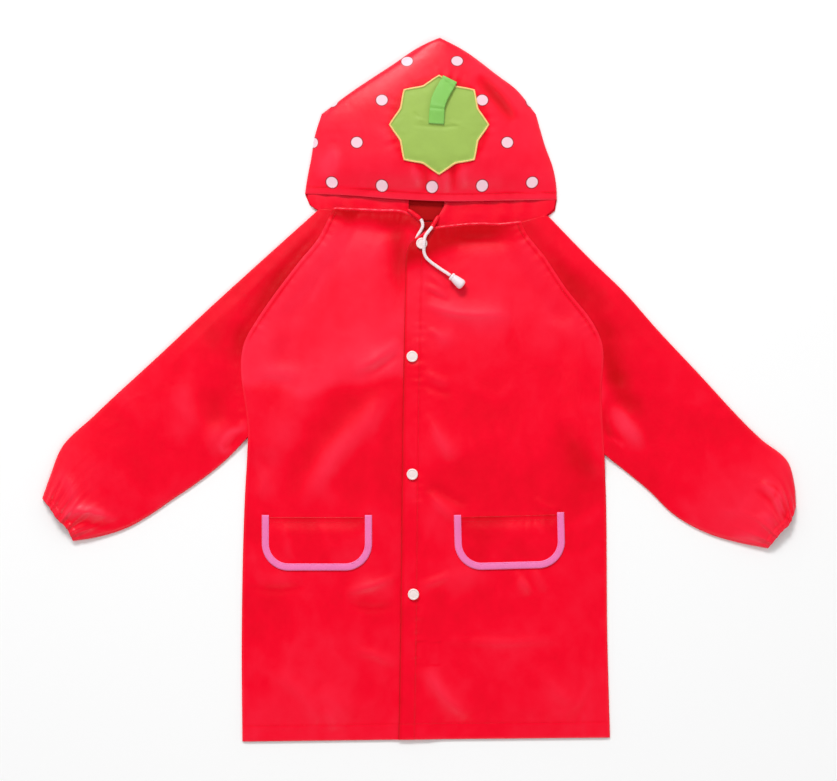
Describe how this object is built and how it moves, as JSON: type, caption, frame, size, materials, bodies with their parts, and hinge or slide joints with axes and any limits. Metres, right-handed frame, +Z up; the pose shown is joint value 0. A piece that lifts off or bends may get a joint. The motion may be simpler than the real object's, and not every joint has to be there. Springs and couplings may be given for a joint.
{
  "type": "child hooded raincoat",
  "caption": "Child's hooded raincoat laid flat, with raglan sleeves, gathered cuffs, snap front, rounded pocket flaps and a leaf patch on the dotted hood.",
  "frame": {"origin": "middle of the laid-out coat in plan, on the surface that it lies on", "axes": "+X across the coat towards the wearer's left sleeve, +Y from the hem to the hood, +Z up out of the cloth"},
  "size_m": [0.9508, 0.8881, 0.0248],
  "materials": {
    "shell_red": "coated taffeta, soft gloss",
    "hood_dotted": "coated taffeta with white dots, soft gloss",
    "leaf_green": "matt woven patch",
    "stem_green": "ribbon",
    "binding_pink": "woven binding tape",
    "snap_white": "moulded, glossy",
    "cord_white": "braided cord",
    "toggle_white": "moulded, glossy"
  },
  "bodies": {
    "root": {"back_panel": "shell_red", "front_right": "shell_red", "front_left": "shell_red", "sleeve_right": "shell_red", "sleeve_left": "shell_red", "hood": "hood_dotted", "collar_right": "shell_red", "collar_left": "shell_red", "leaf_patch": "leaf_green", "stem_loop": "stem_green", "pocket_flap_right": "shell_red", "pocket_flap_left": "shell_red", "flap_binding_right": "binding_pink", "flap_binding_left": "binding_pink", "snap_1": "snap_white", "snap_2": "snap_white", "snap_3": "snap_white", "snap_4": "snap_white", "drawcord_right": "cord_white", "drawcord_left": "cord_white", "cord_toggle": "toggle_white"}
  },
  "joints": []
}
